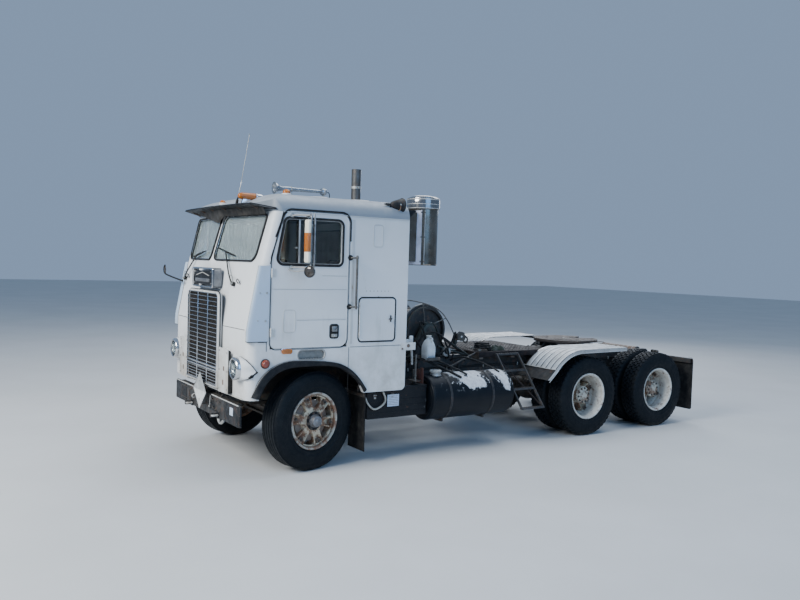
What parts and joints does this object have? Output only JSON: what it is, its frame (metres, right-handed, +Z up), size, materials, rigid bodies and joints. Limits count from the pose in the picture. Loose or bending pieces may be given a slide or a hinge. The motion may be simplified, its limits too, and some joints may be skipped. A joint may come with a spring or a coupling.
{
  "type": "cab-over winch truck",
  "caption": "Cab-over tractor truck with a winch behind the tilting sleeper cab, a deck plate, a fifth wheel and tandem drive axles.",
  "frame": {"origin": "on the ground at the middle of the truck's length and width", "axes": "+X to the truck's left (driver side), +Y rearward (the truck faces -Y), +Z up"},
  "size_m": [2.892, 7.11, 3.5686],
  "materials": {
    "white_paint": "weathered gloss",
    "black_paint": "satin",
    "tank_paint": "peeling satin",
    "frame_steel": "grimy satin",
    "cast_steel": "grimy",
    "rusty_steel": "rusted",
    "chrome": "dull",
    "polished_aluminium": "weathered",
    "glass": "clear",
    "rubber": "matt",
    "tyre": "worn",
    "cream_wheel_paint": "rusty",
    "white_wheel_paint": "grimy",
    "seat_vinyl": "satin",
    "interior_plastic": "matt",
    "cloth": "soft"
  },
  "bodies": {
    "chassis": {"axles": "cast_steel", "battery_boxes": "black_paint", "crossmembers": "frame_steel", "deck_ladder": "rusty_steel", "deck_plate": "rusty_steel", "engine_and_driveline": "cast_steel", "exhaust_stack": "chrome", "fifth_wheel_base": "frame_steel", "frame_rails": "frame_steel", "front_bumper": "frame_steel", "fuel_tanks": "tank_paint", "mudflaps": "rubber", "rear_fenders": "polished_aluminium", "suspension": "cast_steel", "tail_bar": "frame_steel", "winch_drive": "cast_steel", "winch_frame": "frame_steel"},
    "cab": {"cab_front": "white_paint", "cab_side_left": "white_paint", "cab_side_right": "white_paint", "cab_rear": "white_paint", "cab_roof": "white_paint", "cab_floor": "black_paint", "sun_visor": "black_paint", "cab_glass": "glass", "grille": "chrome", "headlights": "chrome", "seats": "seat_vinyl", "dashboard": "interior_plastic", "bunk": "interior_plastic", "mattress": "cloth", "air_cleaner": "polished_aluminium", "roof_fittings": "chrome"},
    "door_left": {"door_left": "white_paint", "door_glass_left": "glass", "mirror_left": "white_paint"},
    "luggage_door_left": {"luggage_door_left": "white_paint"},
    "knuckle_left": {"knuckle_left": "cast_steel"},
    "front_wheel_left": {"front_wheel_left": "cream_wheel_paint", "front_tyre_left": "tyre"},
    "drive_wheels_1_left": {"drive_wheel_1_left": "white_wheel_paint", "drive_tyres_1_left": "tyre"},
    "drive_wheels_2_left": {"drive_wheel_2_left": "white_wheel_paint", "drive_tyres_2_left": "tyre"},
    "door_right": {"door_right": "white_paint", "door_glass_right": "glass", "mirror_right": "white_paint"},
    "luggage_door_right": {"luggage_door_right": "white_paint"},
    "knuckle_right": {"knuckle_right": "cast_steel"},
    "front_wheel_right": {"front_wheel_right": "cream_wheel_paint", "front_tyre_right": "tyre"},
    "drive_wheels_1_right": {"drive_wheel_1_right": "white_wheel_paint", "drive_tyres_1_right": "tyre"},
    "drive_wheels_2_right": {"drive_wheel_2_right": "white_wheel_paint", "drive_tyres_2_right": "tyre"},
    "tie_rod": {"tie_rod": "cast_steel"},
    "winch_drum": {"winch_drum": "frame_steel"},
    "fifth_wheel_plate": {"fifth_wheel_plate": "rusty_steel"},
    "tail_roller": {"tail_roller": "rusty_steel"}
  },
  "joints": [
    {"name": "cab_tilt", "type": "hinge", "parent": "chassis", "child": "cab", "pos_m": [0, -3.4, 0.8], "axis": [1, 0, 0], "range_deg": [0, 45]},
    {"name": "door_left_hinge", "type": "hinge", "parent": "cab", "child": "door_left", "pos_m": [1.15, -3.209, 1.78], "axis": [0, 0, -1], "range_deg": [0, 75]},
    {"name": "door_right_hinge", "type": "hinge", "parent": "cab", "child": "door_right", "pos_m": [-1.15, -3.209, 1.78], "axis": [0, 0, 1], "range_deg": [0, 75]},
    {"name": "luggage_door_left_hinge", "type": "hinge", "parent": "cab", "child": "luggage_door_left", "pos_m": [1.148, -2.18, 1.595], "axis": [0, 0, -1], "range_deg": [0, 110]},
    {"name": "luggage_door_right_hinge", "type": "hinge", "parent": "cab", "child": "luggage_door_right", "pos_m": [-1.148, -2.18, 1.595], "axis": [0, 0, 1], "range_deg": [0, 110]},
    {"name": "steering_left", "type": "hinge", "parent": "chassis", "child": "knuckle_left", "pos_m": [0.83, -2.7, 0.525], "axis": [0, 0, 1], "range_deg": [-46.5, 23.5]},
    {"name": "steering_right", "type": "hinge", "parent": "chassis", "child": "knuckle_right", "pos_m": [-0.83, -2.7, 0.525], "axis": [0, 0, 1], "range_deg": [-46.5, 23.5]},
    {"name": "tie_rod_pivot", "type": "hinge", "parent": "knuckle_left", "child": "tie_rod", "pos_m": [0.8001, -2.55301, 0.4], "axis": [0, 0, 1], "range_deg": [-23.5, 46.5]},
    {"name": "front_wheel_left_spin", "type": "hinge", "parent": "knuckle_left", "child": "front_wheel_left", "pos_m": [0.96327, -2.67289, 0.525], "axis": [0.9799, 0.1994, 0], "continuous": true},
    {"name": "front_wheel_right_spin", "type": "hinge", "parent": "knuckle_right", "child": "front_wheel_right", "pos_m": [-0.96327, -2.72711, 0.525], "axis": [-0.9799, -0.1994, 0], "continuous": true},
    {"name": "drive_wheels_1_left_spin", "type": "hinge", "parent": "chassis", "child": "drive_wheels_1_left", "pos_m": [0.88, 1.383, 0.525], "axis": [1, 0, 0], "continuous": true},
    {"name": "drive_wheels_1_right_spin", "type": "hinge", "parent": "chassis", "child": "drive_wheels_1_right", "pos_m": [-0.88, 1.383, 0.525], "axis": [-1, 0, 0], "continuous": true},
    {"name": "drive_wheels_2_left_spin", "type": "hinge", "parent": "chassis", "child": "drive_wheels_2_left", "pos_m": [0.88, 2.803, 0.525], "axis": [1, 0, 0], "continuous": true},
    {"name": "drive_wheels_2_right_spin", "type": "hinge", "parent": "chassis", "child": "drive_wheels_2_right", "pos_m": [-0.88, 2.803, 0.525], "axis": [-1, 0, 0], "continuous": true},
    {"name": "winch_drum_spin", "type": "hinge", "parent": "chassis", "child": "winch_drum", "pos_m": [0, -0.75, 1.385], "axis": [1, 0, 0], "continuous": true},
    {"name": "fifth_wheel_tilt", "type": "hinge", "parent": "chassis", "child": "fifth_wheel_plate", "pos_m": [0, 2.093, 1.089], "axis": [1, 0, 0], "range_deg": [-12, 12]},
    {"name": "tail_roller_spin", "type": "hinge", "parent": "chassis", "child": "tail_roller", "pos_m": [0, 3.32, 0.965], "axis": [1, 0, 0], "continuous": true}
  ],
  "couplings": [
    {"joint": "steering_right", "follows": "steering_left", "ratio": 1},
    {"joint": "tie_rod_pivot", "follows": "steering_left", "ratio": -1}
  ]
}
